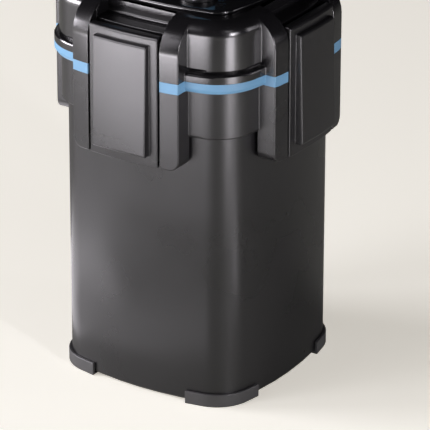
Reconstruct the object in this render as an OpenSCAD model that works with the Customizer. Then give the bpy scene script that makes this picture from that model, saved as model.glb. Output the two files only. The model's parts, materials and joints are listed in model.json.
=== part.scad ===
// Canister filter: square tub, clamped head with four lever latches, media baskets and pump.
// Millimetres. Z is up, the floor is z = 0, the axis of the tub is x = y = 0.

/* [Tub] */
// Width of the tub across the middle of two sides
body_w = 155; // [146:1:175]
// How far the middle of each side stands out from the corner arcs
side_bulge = 5.3; // [4:0.1:7]
// Corner radius of the tub
corner_r = 26.5; // [23:0.5:29]
// Height of the tub from its underside to the top of the collar
tub_h = 236.5; // [215:0.5:260]
// Wall thickness of the tub
wall_t = 3; // [2.4:0.1:3.5]
// Thickness of the tub floor
floor_t = 3; // [2.5:0.1:5]
// Bevel along the lower edge of the tub
base_bevel = 1.5; // [0.6:0.1:2]
// Height of the thick collar at the top of the tub
collar_h = 35; // [28:0.5:40]
// How far the collar stands out from the tub wall
collar_out = 4.3; // [3.4:0.1:4.8]
// Bevel along the lower edge of the collar
collar_bevel = 1.2; // [0.6:0.1:2]
// How far the rim above the collar stands out from the tub wall
rim_out = 2; // [1.5:0.1:2.5]

/* [Feet] */
// Thickness of the corner pads below the tub
foot_pad = 2; // [1.5:0.1:4]
// Height of the corner pads
foot_h = 9.5; // [7:0.5:14]
// How far the corner pads stand out from the tub wall
foot_out = 2.3; // [1.5:0.1:3]
// Distance from the middle of a side to the end of a corner pad
foot_end = 38.8; // [34:0.1:44]
// Width of the pad sole under the tub wall
foot_sole = 12; // [9:0.5:15]

/* [Rails and band] */
// Distance from the middle of a side to the inner face of a rail
rail_in = 28.7; // [28.6:0.1:31]
// Width of a rail
rail_w = 14.3; // [11:0.1:14.5]
// How far the rails stand out from the tub wall
rail_out = 16.5; // [15.7:0.1:18]
// How far the lower rails reach down from the top of the collar
rail_low = 56.4; // [50:0.5:60]
// Rounding of the lower outer corner of a rail
rail_low_r = 6.9; // [3:0.1:7]
// Height of the coloured band
band_h = 7.6; // [6:0.1:9]
// How far the band and the head lip stand out from the tub wall
band_out = 9.2; // [8.4:0.1:9.6]
// Height of the chamfer under the band
band_chamfer_h = 2.6; // [1.5:0.1:3.5]
// Depth of the chamfer under the band
band_chamfer_d = 1.8; // [1:0.1:2.4]

/* [Head] */
// Height of the head above the band
head_h = 41.9; // [39:0.1:48]
// Height of the head lip above the band
lip_h = 6.3; // [5:0.1:7.5]
// Bevel along the top of the lip
lip_bevel = 1.3; // [0.6:0.1:1.8]
// How far the head wall stands out from the tub wall
head_out = 5.7; // [5:0.1:6.2]
// Depth and height of the shadow groove above the lip
lip_groove = 1.2; // [0.6:0.1:1.8]
// Thickness of the head wall
head_wall = 4; // [3:0.1:4.5]
// Thickness of the head deck
deck_t = 3; // [2.5:0.1:3.6]
// Radius of the shoulder between head wall and deck
shoulder_r = 10; // [7:0.5:11]
// Height of the curve that carries the rails over onto the deck
rail_top_h = 24; // [20:0.5:26]
// Depth of that curve, from the rail face inwards
rail_top_d = 28; // [25:0.5:30]
// Height of the rails above the deck
rail_over = 1; // [0.5:0.1:2]
// Depth of the finger recess over a latch, down from the deck
recess_h = 11; // [9:0.1:12]
// Width of the deck left between a finger recess and the top cover
recess_edge = 1.4; // [1:0.1:3]
// Radius between the floor and the wall of a finger recess
recess_r = 3; // [1.5:0.1:4]

/* [Latches] */
// Width of a latch lever
latch_w = 55; // [48:0.5:57]
// Thickness of the lever plate
latch_t = 3; // [2.2:0.1:3.2]
// Radius of the hinge barrel
barrel_r = 4; // [3.6:0.1:4.2]
// How far the hinge barrel is set back from the front of the lever
barrel_in = 2; // [1.8:0.1:2.4]
// Rounding of the top of the lever
lever_top_r = 2.2; // [1.4:0.1:3]
// Radius of the hinge pin
pin_r = 1.5; // [1.2:0.1:1.8]
// Radial clearance of the hinge pin
pin_fit = 0.05; // [0.03:0.01:0.08]
// How deep the pin goes into each rail
pin_grip = 4; // [3:0.1:4.5]
// Gap at each end of the hinge pin
pin_end = 0.4; // [0.2:0.1:0.6]
// Distance from the deck down to the hinge pin
pin_drop = 15.2; // [14.5:0.1:17.5]
// Width of the raised panel
panel_w = 42.8; // [38:0.1:46]
// Height of the raised panel over the lever plate, at its lower end
panel_t = 6; // [4:0.1:7]
// Height of the raised panel over the lever plate, at its upper end
panel_top_t = 3.8; // [2.4:0.1:6]
// Bevel along the top and the bottom of the raised panel
panel_bevel = 1.2; // [0.6:0.1:2]
// Distance from the hinge pin down to the top of the raised panel
panel_drop = 2.2; // [1:0.1:8]
// Distance from the lower end of the lever up to the raised panel
panel_rise = 8; // [5:0.1:12]
// Width of the stiffening flanges behind the lever
flange_t = 2.4; // [1.8:0.1:3]
// Depth of the stiffening flanges behind the lever
flange_d = 2.4; // [1.5:0.1:3]
// Width of the hook behind the lever
hook_w = 26; // [20:0.5:30]
// Height of the hook nose
hook_h = 7.5; // [6:0.1:9]
// Gap between the hook and its catch bar with the lever closed
hook_gap = 0.3; // [0.2:0.05:0.4]
// How far the hook reaches under the catch bar
hook_reach = 2.7; // [2:0.1:3]
// Width of the catch bar
catch_w = 32; // [24:0.5:36]
// Height of the catch bar
catch_h = 5; // [4:0.1:6]
// How far the catch bar stands out from the tub wall
catch_out = 9.5; // [8.8:0.1:10]
// Distance from the top of the collar down to the top of the catch bar
catch_drop = 7.5; // [6:0.1:10]

/* [Head plate and seal] */
// Clearance between the head plate skirt and the tub wall
skirt_gap = 0.4; // [0.3:0.05:0.6]
// How far the skirt reaches down into the tub
skirt_depth = 12.5; // [11:0.1:16]
// Thickness of the head plate and its skirt
plate_t = 3; // [2.5:0.1:4]
// Radial width of the main seal
seal_w = 3.2; // [2.6:0.1:3.6]
// Height of the main seal
seal_h = 4; // [3:0.1:5]
// Clearance of seals and sleeves in their seats
seat_fit = 0.1; // [0.05:0.01:0.15]
// Radius of the screw bosses in the corners of the head
boss_r = 5; // [4:0.1:5.5]
// Radius of the screw shanks
screw_r = 1.5; // [1.2:0.1:1.8]
// Radius of the screw heads
screw_head_r = 3.1; // [2.6:0.1:3.6]
// Height of the screw heads
screw_head_h = 2.2; // [1.8:0.1:2.8]
// How deep a screw goes into its boss
screw_grip = 14; // [10:0.5:18]

/* [Top cover and connectors] */
// Inset of the top cover from the tub wall
cover_in = 9.5; // [8:0.1:11]
// Thickness of the top cover
cover_t = 4; // [3:0.1:5]
// Bevel along the top of the cover
cover_bevel = 1.2; // [0.6:0.1:1.8]
// Distance of a hose connector from the middle, sideways
conn_x = 30; // [27:0.5:33]
// Distance of a hose connector from the middle, to the front
conn_y = 45; // [42:0.5:46]
// Radius of the connector base
conn_base_r = 13; // [11.5:0.1:13.5]
// Height of the connector base
conn_base_h = 4; // [3:0.1:6]
// Radius of the connector neck
neck_r = 8; // [7.4:0.1:8.6]
// Bore radius of the water way
bore_r = 5.2; // [4.6:0.1:5.6]
// Outer radius of the hose tail
tail_r = 6.6; // [6.3:0.1:7]
// Height of a barb over the hose tail
barb = 0.9; // [0.5:0.1:1.1]
// Height of the hose tail above the union nut
tail_h = 11.4; // [10:0.1:18]
// Outer radius of the union nut
nut_r = 12.6; // [11.5:0.1:13]
// Height of the union nut
nut_h = 7; // [5:0.1:9]
// Number of grip ribs around the union nut
nut_ribs = 18; // [12:1:24]
// Height of the flow lever collar
lever_h = 5; // [4:0.1:6]
// Length of the flow lever from the connector axis
lever_len = 29; // [24:0.5:32]
// Width of the flow lever
lever_w = 8; // [6:0.5:10]
// Radial clearance of the flow lever on the neck
lever_fit = 0.06; // [0.03:0.01:0.09]
// Axial gap between turning and fixed parts
turn_gap = 0.3; // [0.2:0.05:0.4]
// Outer radius of the pipes that rise from the head plate
riser_r = 9; // [8.6:0.1:9.6]
// Inner radius of those pipes
riser_bore = 7; // [6.6:0.1:7.4]
// How deep a connector spigot goes into its pipe
spigot_h = 12; // [9:0.5:16]
// Radius of the cable gland
gland_r = 7; // [6:0.1:8]
// Bore radius of the cable gland
gland_bore = 2.9; // [2.6:0.1:3.4]
// Height of the cable gland
gland_h = 11; // [9:0.5:15]
// Distance of the cable gland behind the middle
gland_y = 50; // [44:0.5:52]

/* [Pump] */
// Distance of the pump axis behind the middle
pump_y = 12; // [8:0.5:15]
// Inner radius of the rotor can
can_r = 10; // [9.4:0.1:10.8]
// Wall of the rotor can
can_t = 2; // [1.6:0.1:2.6]
// Height of the rotor can above the head plate
can_h = 34; // [31:0.5:37]
// Radius of the pump shaft
shaft_r = 1.5; // [1.3:0.05:1.8]
// Radial running clearance on the shaft
shaft_fit = 0.05; // [0.03:0.01:0.08]
// Outer radius of the shaft bushes
bush_r = 4; // [3.6:0.1:4.5]
// Height of the shaft bushes
bush_h = 4; // [3:0.1:5]
// Radius of the rotor magnet
magnet_r = 8.8; // [8.2:0.1:9.2]
// Height of the rotor magnet
magnet_h = 22; // [18:0.5:24]
// Outer radius of the stem that carries the magnet
stem_r = 3.6; // [3.2:0.1:4]
// Radius of the impeller
impeller_r = 17; // [14:0.5:18.5]
// Height of the impeller blades
blade_h = 8; // [6:0.5:9]
// Number of impeller blades
blades = 6; // [5:1:9]
// Thickness of a blade
blade_t = 1.6; // [1.2:0.1:2.2]
// Inner radius of the pump chamber
volute_r = 21; // [19.5:0.5:23]
// Depth of the pump chamber below the head plate
volute_h = 14; // [12:0.5:16]
// Thickness of the cover below the pump chamber
pump_cover_t = 3; // [2.5:0.1:4]
// Radius of the intake eye in that cover
eye_r = 9; // [8:0.1:10]
// Width of the outlet duct
duct_w = 14; // [12:0.5:16]
// Length of the stator block
stator_w = 62; // [56:1:66]
// Depth of the stator pole block
stator_d = 30; // [28:0.5:32]
// Height of the lamination stack
stator_h = 18; // [15:0.5:20]
// Length of a coil
coil_l = 18; // [14:0.5:20]

/* [Baskets and media] */
// Number of baskets in the stack
basket_n = 3; // [3:1:3]
// Gap between the baskets and the tub wall
basket_gap = 3.5; // [2.5:0.1:4.5]
// Wall thickness of a basket
basket_t = 2; // [1.6:0.1:2.4]
// Height of the stand ribs on the tub floor
stand_h = 14; // [11:0.5:18]
// Gap between the top basket and the pump cover
stack_gap = 4; // [3:0.5:6]
// Width of the slots in the basket floors
grid_slot = 4; // [3:0.1:5]
// Pitch of the slots in the basket floors
grid_pitch = 8; // [7:0.1:10]
// Width of the bar across the middle of the basket floors
grid_bar = 3; // [2:0.1:6]
// Gap between media and basket wall
media_gap = 0.5; // [0.3:0.1:1]
// Outer radius of the intake tube
tube_r = 8.5; // [8:0.1:9]
// Wall thickness of the intake tube
tube_t = 1.6; // [1.2:0.1:2]
// Length of the socket at the top of the intake tube
socket_h = 12; // [9:0.5:14]
// Length of the strainer sleeve over the foot of the intake tube
sleeve_h = 4; // [3:0.5:5]
// Outer radius of a ceramic ring
ring_r = 6.5; // [5:0.5:7]
// Height of a ceramic ring
ring_h = 18; // [12:0.5:19]
// Number of ring layers
ring_layers = 2; // [1:1:3]
// Pitch of the ceramic rings
ring_pitch = 15; // [14.5:0.5:18]

/* [Hidden] */
fn_round = 64;
fn_small = 32;
eps = 0.01;
side_steps = 6;
corner_steps = 12;

black = [0.10, 0.10, 0.11];
black_hi = [0.15, 0.15, 0.16];
blue = [0.44, 0.68, 0.86];
rubber = [0.05, 0.05, 0.05];
steel = [0.72, 0.73, 0.75];
brown = [0.45, 0.28, 0.16];
copper = [0.72, 0.42, 0.24];
gray = [0.32, 0.33, 0.35];
white = [0.88, 0.88, 0.86];

half_w = body_w / 2;
corner_q = half_w - side_bulge - corner_r;
side_run = half_w - corner_q;
side_r = (side_run * side_run + corner_q * corner_q - corner_r * corner_r) / (2 * side_bulge);
side_a = asin(corner_q / (side_r - corner_r));

base_z = foot_pad;
collar_top = base_z + tub_h;
collar_z = collar_top - collar_h;
band_top = collar_top + band_h;
rim_top = band_top - seat_fit;
lip_top = band_top + lip_h;
deck_z = band_top + head_h;
cover_top = deck_z + cover_t;
rail_end = rail_in + rail_w;
rail_z = collar_top - rail_low;
rail_reach = half_w + rail_out;

pin_z = deck_z - pin_drop;
pin_y = rail_reach - barrel_in - barrel_r;
recess_z = deck_z - recess_h;
recess_in = recess_edge - cover_in;
catch_top = collar_top - catch_drop;
catch_z = catch_top - catch_h;
hook_top = catch_z - hook_gap;
panel_out = rail_out + panel_t;
panel_top_out = rail_out + panel_top_t;
panel_z = rail_z + panel_rise;
panel_top = pin_z - panel_drop;

plate_z = collar_top - skirt_depth;
plate_top = plate_z + plate_t;
skirt_in = wall_t + skirt_gap;
seal_in = skirt_in + seal_w;
skirt_top = band_top + 2 * plate_t;
seal_z = plate_z + skirt_depth / 2;
boss_xy = corner_q + boss_r - 1;
deck_under = deck_z - deck_t;

volute_z = plate_z - volute_h;
pump_cover_z = volute_z - pump_cover_t;
bush_low_z = pump_cover_z - bush_h / 2;
can_top = plate_top + can_h;
shaft_z0 = bush_low_z + bush_h / 4;
shaft_z1 = can_top - can_t - bush_h / 4;
impeller_z = volute_z + turn_gap + shaft_r;
magnet_z = plate_top + turn_gap + shaft_r;
stator_z = plate_top + bush_h;

floor_top = base_z + floor_t;
stack_z = floor_top + stand_h;
basket_h = (bush_low_z - stack_gap - stack_z) / basket_n;
strainer_slot = 2.4;
basket_in = wall_t + basket_gap;
media_in = basket_in + basket_t + media_gap;
well_r = tube_r + 2 * media_gap + basket_t;
slot_reach = half_w - media_in;
strainer_r = tube_r + tube_t;
sleeve_z = floor_top + stand_h - sleeve_h - turn_gap;
base2_z = cover_top + conn_base_h;
lever_z = base2_z + turn_gap;
nut_z = lever_z + lever_h + turn_gap;
tail_z = nut_z + nut_h;
yoke_t = stator_h * 0.5;
leg_w = stator_w * 0.19;

// ---------- outline helpers ----------
function arc_pts(cx, cy, r, a0, a1, n) =
    [for (i = [0 : n - 1]) let (a = a0 + (a1 - a0) * i / n) [cx + r * cos(a), cy + r * sin(a)]];

function quarter_pts(o) = concat(
    arc_pts(0, side_r - half_w, side_r + o, -90 - side_a, -90 + side_a, side_steps),
    arc_pts(corner_q, -corner_q, corner_r + o, -90 + side_a, -side_a, corner_steps));

function turned(p, k) = k == 0 ? p : turned([for (v = p) [-v[1], v[0]]], k - 1);

// outline of the tub, moved out by o
function plan_pts(o) = let (q = quarter_pts(o))
    concat(q, turned(q, 1), turned(q, 2), turned(q, 3));

module prism(o, z0, z1) {
    translate([0, 0, z0])
        linear_extrude(z1 - z0)
            polygon(plan_pts(o));
}

// solid through the outline rings [offset, z]
module loft(rings) {
    n = len(plan_pts(0));
    m = len(rings);
    pts = [for (r = rings) for (p = plan_pts(r[0])) [p[0], p[1], r[1]]];
    sides = [for (k = [0 : m - 2]) for (i = [0 : n - 1])
        [k * n + i, (k + 1) * n + i, (k + 1) * n + (i + 1) % n, k * n + (i + 1) % n]];
    polyhedron(pts, concat(sides, [[for (i = [0 : n - 1]) i]],
        [[for (i = [n - 1 : -1 : 0]) (m - 1) * n + i]]));
}

module four() {
    for (a = [0 : 90 : 270])
        rotate([0, 0, a])
            children();
}

module mirror_x() {
    children();
    mirror([1, 0, 0])
        children();
}

// block from the front side of the tub: x half width, y depths measured from the axis, z range
module front_block(hx, y_out, y_in, z0, z1) {
    translate([-hx, -y_out, z0])
        cube([2 * hx, y_out - y_in, z1 - z0]);
}

module tube(r_out, r_in, z0, z1) {
    translate([0, 0, z0])
        difference() {
            cylinder(h = z1 - z0, r = r_out, $fn = fn_round);
            translate([0, 0, -1])
                cylinder(h = z1 - z0 + 2, r = r_in, $fn = fn_round);
        }
}

module rod(r, z0, z1) {
    translate([0, 0, z0])
        cylinder(h = z1 - z0, r = r, $fn = fn_round);
}

module at_inlet() {
    translate([conn_x, -conn_y, 0])
        children();
}

module at_outlet() {
    translate([-conn_x, -conn_y, 0])
        children();
}

module at_pump() {
    translate([0, pump_y, 0])
        children();
}

module at_corners() {
    for (sx = [-1, 1])
        for (sy = [-1, 1])
            translate([sx * boss_xy, sy * boss_xy, 0])
                children();
}

// ---------- tub ----------
module lower_rail() {
    r = rail_low_r;
    translate([0, 1 - half_w, 0])
        rotate([90, 0, 0])
            linear_extrude(rail_out + 2)
                union() {
                    translate([rail_in, rail_z + r])
                        square([rail_w, rail_low - r]);
                    translate([rail_in, rail_z])
                        square([rail_w - r, 2 * r]);
                    translate([rail_end - r, rail_z + r])
                        circle(r, $fn = fn_round);
                }
}

module canister() {
    color(black) {
        difference() {
            union() {
                loft([[-base_bevel, base_z], [0, base_z + base_bevel], [0, collar_top]]);
                loft([[collar_out - collar_bevel, collar_z],
                      [collar_out, collar_z + collar_bevel],
                      [collar_out, collar_top]]);
                prism(rim_out, collar_top - 1, rim_top);
                intersection() {
                    prism(rail_out, rail_z - 1, collar_top);
                    four()
                        mirror_x()
                            lower_rail();
                }
                intersection() {
                    prism(catch_out, catch_z, catch_top);
                    four()
                        front_block(catch_w / 2, rail_reach, half_w, catch_z, catch_top);
                }
            }
            prism(-wall_t, floor_top, band_top + 1);
        }
        four()
            translate([-basket_t, -slot_reach, floor_top - eps])
                cube([2 * basket_t, slot_reach / 2, stand_h + eps]);
    }
}

module corner_feet() {
    color(rubber)
        four()
            intersection() {
                difference() {
                    prism(foot_out, 0, foot_h);
                    prism(seat_fit, base_z, foot_h + 1);
                    prism(-foot_sole, -1, foot_h + 1);
                }
                translate([foot_end, -body_w, -1])
                    cube([body_w, body_w - foot_end, foot_h + 2]);
            }
}

module color_band() {
    color(blue)
        difference() {
            union() {
                loft([[band_out - band_chamfer_d, collar_top],
                      [band_out, collar_top + band_chamfer_h],
                      [band_out, band_top]]);
                intersection() {
                    prism(rail_out, collar_top, band_top);
                    four()
                        mirror_x()
                            translate([rail_in, -rail_reach - 1, collar_top])
                                cube([rail_w, rail_out + 1, band_h]);
                }
            }
            prism(rim_out + seat_fit, collar_top - 1, band_top + 1);
        }
}

module main_seal() {
    color(rubber)
        difference() {
            prism(-wall_t - seat_fit, seal_z, seal_z + seal_h - seat_fit);
            prism(-seal_in + seat_fit, seal_z - 1, seal_z + seal_h);
        }
}

// ---------- head ----------
// rails of the head: their outer face follows the outline and curves over onto the deck
module upper_rails() {
    top = deck_z + rail_over;
    curve_z = top - rail_top_h;
    intersection() {
        loft(concat([[rail_out, band_top]],
            [for (a = [0 : 10 : 90])
                [rail_out - rail_top_d * (1 - cos(a)), curve_z + rail_top_h * sin(a)]]));
        four()
            mirror_x()
                translate([rail_in, -rail_reach - 1, band_top])
                    cube([rail_w, rail_reach + 1 - half_w + cover_in, top - band_top]);
    }
}

module head_outer() {
    shoulder_z = deck_z - shoulder_r;
    loft(concat(
        [[band_out, band_top], [band_out, lip_top - lip_bevel], [band_out - lip_bevel, lip_top],
         [head_out - lip_groove, lip_top], [head_out - lip_groove, lip_top + lip_groove],
         [head_out, lip_top + 1.6 * lip_groove]],
        [for (a = [0 : 15 : 90])
            [head_out - shoulder_r * (1 - cos(a)), shoulder_z + shoulder_r * sin(a)]]));
}

// room for the fingers behind the tops of the levers: floor, round corner and back wall
module finger_recesses() {
    difference() {
        four()
            front_block(rail_in - eps, rail_reach, half_w - 2 * cover_in, recess_z, deck_z + 1);
        loft(concat([[recess_in + recess_r, recess_z - 1]],
            [for (a = [0 : 18 : 90])
                [recess_in + recess_r * (1 - sin(a)), recess_z + recess_r * (1 - cos(a))]],
            [[recess_in, deck_z + 2]]));
    }
}

// wall and floor of the head behind and below a finger recess
module recess_shell() {
    difference() {
        front_block(rail_in + deck_t, rail_reach, half_w - 2 * cover_in, recess_z - deck_t, deck_z);
        prism(recess_in - deck_t, recess_z - deck_t - 1, deck_z + 1);
    }
}

module head_cavity() {
    difference() {
        union() {
            prism(head_out - head_wall, band_top - 1, deck_z - shoulder_r);
            prism(head_out - head_wall - shoulder_r / 2, band_top - 1, deck_under);
        }
        four()
            recess_shell();
    }
}

module head_shell() {
    color(black)
        difference() {
            union() {
                difference() {
                    union() {
                        head_outer();
                        upper_rails();
                    }
                    head_cavity();
                }
                at_corners()
                    rod(boss_r, plate_top, deck_under + eps);
            }
            finger_recesses();
            four()
                translate([-rail_in - pin_grip, -pin_y, pin_z])
                    rotate([0, 90, 0])
                        cylinder(h = 2 * (rail_in + pin_grip), r = pin_r + pin_fit, $fn = fn_small);
            at_corners() {
                rod(screw_r, plate_top - 1, plate_top + screw_grip);
                rod(screw_r, deck_z - screw_grip, deck_z + 1);
            }
            at_inlet()
                rod(riser_bore, deck_under - 1, deck_z + 1);
            at_outlet()
                rod(riser_bore, deck_under - 1, deck_z + 1);
            translate([0, gland_y, 0])
                rod(gland_r - 1, deck_under - 1, deck_z + 1);
        }
}

// duct from the pump chamber to the foot of the outlet pipe
module duct(w, z0, z1) {
    dx = -conn_x;
    dy = -conn_y - pump_y;
    translate([0, pump_y, z0])
        rotate([0, 0, atan2(dy, dx)])
            translate([0, -w / 2, 0])
                cube([sqrt(dx * dx + dy * dy), w, z1 - z0]);
}

module head_plate() {
    color(gray)
        difference() {
            union() {
                prism(-skirt_in, plate_z, plate_top);
                difference() {
                    prism(-skirt_in, plate_z, skirt_top);
                    prism(-seal_in - plate_t, plate_z - 1, skirt_top + 1);
                }
                at_pump() {
                    rod(volute_r + plate_t, volute_z, plate_z + eps);
                    rod(can_r + can_t, plate_z, can_top);
                }
                duct(duct_w + 2 * plate_t, volute_z, plate_z + eps);
                at_outlet() {
                    rod(duct_w / 2 + plate_t, volute_z, plate_z + eps);
                    rod(riser_r, plate_z, deck_under);
                }
                at_inlet()
                    rod(riser_r, plate_z - socket_h, deck_under);
                mirror_x()
                    translate([stator_w / 2 - leg_w, pump_y - stator_d / 2, plate_top - eps])
                        cube([leg_w - 1, stator_d, stator_z - plate_top + eps]);
            }
            difference() {
                prism(-skirt_in + 1, seal_z, seal_z + seal_h);
                prism(-seal_in, seal_z - 1, seal_z + seal_h + 1);
            }
            at_pump() {
                rod(volute_r, volute_z - 1, plate_z);
                rod(can_r, plate_z - 1, can_top - can_t - bush_h);
                rod(bush_r + seat_fit, plate_z, can_top - can_t);
            }
            difference() {
                duct(duct_w, volute_z + plate_t, plate_z);
                at_pump()
                    rod(volute_r - 1, volute_z, plate_z + 1);
            }
            at_outlet() {
                rod(duct_w / 2, volute_z + plate_t, plate_z);
                rod(riser_bore, plate_z - 1, deck_under + 1);
            }
            at_inlet()
                rod(riser_bore, plate_z - socket_h - 1, deck_under + 1);
            at_corners()
                rod(screw_r + seat_fit, plate_z - 1, plate_top + 1);
        }
}

module plate_screws() {
    color(steel)
        at_corners() {
            rod(screw_r, plate_z - eps, plate_top + screw_grip - 1);
            difference() {
                rod(screw_head_r, plate_z - screw_head_h, plate_z);
                translate([0, 0, plate_z - screw_head_h - eps])
                    cylinder(h = screw_head_h * 0.6, r = screw_r, $fn = 6);
            }
        }
}

module top_cover() {
    color(black_hi)
        difference() {
            loft([[-cover_in - lip_groove, deck_z], [-cover_in - lip_groove, deck_z + 1],
                  [-cover_in, deck_z + 1], [-cover_in, cover_top - cover_bevel],
                  [-cover_in - cover_bevel, cover_top]]);
            at_inlet()
                rod(riser_bore, deck_z - 1, cover_top + 1);
            at_outlet()
                rod(riser_bore, deck_z - 1, cover_top + 1);
            translate([0, gland_y, 0])
                rod(gland_r - 1, deck_z - 1, cover_top + 1);
            at_corners() {
                rod(screw_r + seat_fit, deck_z - 1, cover_top + 1);
                rod(screw_head_r + 2 * seat_fit, cover_top - screw_head_h, cover_top + 1);
            }
        }
}

module cover_screws() {
    color(steel)
        at_corners() {
            rod(screw_r, deck_z - screw_grip + 1, cover_top - screw_head_h + eps);
            difference() {
                rod(screw_head_r, cover_top - screw_head_h, cover_top);
                translate([0, 0, cover_top - screw_head_h * 0.6])
                    cylinder(h = screw_head_h, r = screw_r, $fn = 6);
            }
        }
}

// ---------- latches ----------
// rounded top of the lever, from the middle of the barrel out to the front
module latch_top() {
    r = lever_top_r;
    intersection() {
        loft(concat([[rail_out, pin_z - barrel_r]],
            [for (a = [0 : 22.5 : 90])
                [rail_out - r * (1 - cos(a)), pin_z + barrel_r - r * (1 - sin(a))]]));
        front_block(latch_w / 2, rail_reach + 1, pin_y, pin_z - barrel_r, pin_z + barrel_r + 1);
    }
}

module latch() {
    color(black_hi)
        difference() {
            union() {
                intersection() {
                    difference() {
                        prism(rail_out, rail_z, pin_z);
                        prism(rail_out - latch_t, rail_z - 1, pin_z + 1);
                    }
                    front_block(latch_w / 2, rail_reach + 1, half_w, rail_z, pin_z);
                }
                translate([-latch_w / 2, -pin_y, pin_z])
                    rotate([0, 90, 0])
                        cylinder(h = latch_w, r = barrel_r, $fn = fn_round);
                latch_top();
                intersection() {
                    difference() {
                        loft([[panel_out - panel_bevel, panel_z],
                              [panel_out, panel_z + panel_bevel],
                              [panel_top_out, panel_top - panel_bevel],
                              [panel_top_out - panel_bevel, panel_top]]);
                        prism(rail_out - 1, panel_z - 1, panel_top + 1);
                    }
                    front_block(panel_w / 2, half_w + panel_out + 1, half_w, panel_z, panel_top);
                }
                mirror_x()
                    intersection() {
                        prism(rail_out - 1, rail_z + 2, pin_z);
                        translate([latch_w / 2 - flange_t, -rail_reach, rail_z + 2])
                            cube([flange_t, latch_t + flange_d + 0.5, pin_z - rail_z - 2 - pin_r]);
                    }
                intersection() {
                    prism(rail_out - 1, hook_top - hook_h, hook_top);
                    front_block(hook_w / 2, rail_reach, half_w + catch_out - hook_reach,
                        hook_top - hook_h, hook_top);
                }
            }
            translate([-latch_w / 2 - 1, -pin_y, pin_z])
                rotate([0, 90, 0])
                    cylinder(h = latch_w + 2, r = pin_r + pin_fit, $fn = fn_small);
        }
}

module latch_front() {
    latch();
}

module latch_right() {
    rotate([0, 0, 90])
        latch();
}

module latch_back() {
    rotate([0, 0, 180])
        latch();
}

module latch_left() {
    rotate([0, 0, 270])
        latch();
}

module latch_pins() {
    color(steel)
        four()
            translate([-rail_in - pin_grip + pin_end, -pin_y, pin_z])
                rotate([0, 90, 0])
                    cylinder(h = 2 * (rail_in + pin_grip - pin_end), r = pin_r, $fn = fn_small);
}

// ---------- baskets and media ----------
module basket(k) {
    z = stack_z + k * basket_h;
    color(gray)
        difference() {
            union() {
                difference() {
                    prism(-basket_in, z, z + basket_h);
                    prism(-basket_in - basket_t, z + basket_t, z + basket_h + 1);
                }
                at_inlet()
                    rod(well_r, z, z + basket_h - 1);
            }
            intersection() {
                difference() {
                    prism(-media_in, z - 1, z + basket_t + 1);
                    at_inlet()
                        rod(well_r + 1, z - 2, z + basket_h);
                }
                for (x = [-grid_pitch * 7 : grid_pitch : grid_pitch * 7])
                    for (y = [-slot_reach + grid_pitch, grid_bar / 2])
                        translate([x - grid_slot / 2, y, z - 1])
                            cube([grid_slot, slot_reach - grid_pitch - grid_bar / 2, basket_t + 2]);
            }
            at_inlet()
                rod(well_r - basket_t, z - 1, z + basket_h);
        }
}

module basket_lower() {
    basket(0);
}

module basket_middle() {
    basket(1);
}

module basket_upper() {
    basket(2);
}

module pad(k, part) {
    z = stack_z + k * basket_h + basket_t;
    difference() {
        prism(-media_in, z, z + (basket_h - basket_t) * part);
        at_inlet()
            rod(well_r + media_gap, z - 1, z + basket_h);
    }
}

module coarse_sponge() {
    color(rubber)
        pad(0, 0.85);
}

module fine_pad() {
    color(white)
        pad(2, 0.6);
}

module ceramic_rings() {
    z = stack_z + basket_h + basket_t;
    m = floor((half_w - media_in - ring_r) / ring_pitch - 0.35);
    color(brown)
        for (i = [-m : m])
            for (j = [-m : m])
                if (norm([i * ring_pitch - conn_x, j * ring_pitch + conn_y])
                    > well_r + ring_r + media_gap)
                    for (k = [0 : ring_layers - 1])
                        translate([i * ring_pitch, j * ring_pitch, k * (ring_h + turn_gap)])
                            tube(ring_r, ring_r * 0.5, z, z + ring_h);
}

module intake_tube() {
    color(gray)
        at_inlet()
            difference() {
                union() {
                    rod(tube_r, sleeve_z, plate_z - socket_h);
                    rod(riser_r + tube_t, plate_z - socket_h - 2, plate_z - 1);
                }
                rod(tube_r - tube_t, floor_top, plate_z - socket_h - 0.5);
                rod(riser_r + seat_fit, plate_z - socket_h - 0.5, plate_z);
            }
}

module strainer() {
    color(gray)
        at_inlet()
            difference() {
                union() {
                    tube(strainer_r, tube_r + seat_fit, sleeve_z, sleeve_z + sleeve_h);
                    tube(strainer_r, tube_r - tube_t, floor_top, sleeve_z);
                }
                for (a = [0 : 45 : 135])
                    rotate([0, 0, a])
                        translate([-strainer_r - 1, -strainer_slot / 2, floor_top + strainer_slot])
                            cube([2 * strainer_r + 2, strainer_slot, stand_h / 2]);
            }
}

// ---------- pump ----------
module stator_core() {
    color(steel)
        translate([0, pump_y, stator_z])
            difference() {
                union() {
                    translate([-stator_w / 2, -stator_d / 2, 0])
                        cube([stator_w, stator_d, stator_h]);
                    mirror_x()
                        translate([stator_w / 2 - leg_w, stator_d / 2 - 1, 0])
                            cube([leg_w, coil_l + 3, stator_h]);
                    translate([-stator_w / 2, stator_d / 2 + coil_l + 1, 0])
                        cube([stator_w, yoke_t, stator_h]);
                }
                translate([0, 0, -1])
                    cylinder(h = stator_h + 2, r = can_r + can_t + 0.3, $fn = fn_round);
            }
}

module stator_coils() {
    color(copper)
        translate([0, pump_y + stator_d / 2 + 0.5, stator_z])
            mirror_x()
                translate([stator_w / 2 - leg_w / 2, 0, stator_h / 2])
                    rotate([-90, 0, 0])
                        difference() {
                            translate([-leg_w / 2 - 5, -stator_h / 2 - 3.5, 0])
                                cube([leg_w + 10, stator_h + 7, coil_l]);
                            translate([-leg_w / 2 - 0.1, -stator_h / 2 - 0.1, -1])
                                cube([leg_w + 0.2, stator_h + 0.2, coil_l + 2]);
                        }
}

module pump_shaft() {
    color(steel)
        at_pump()
            rod(shaft_r, shaft_z0, shaft_z1);
}

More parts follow.
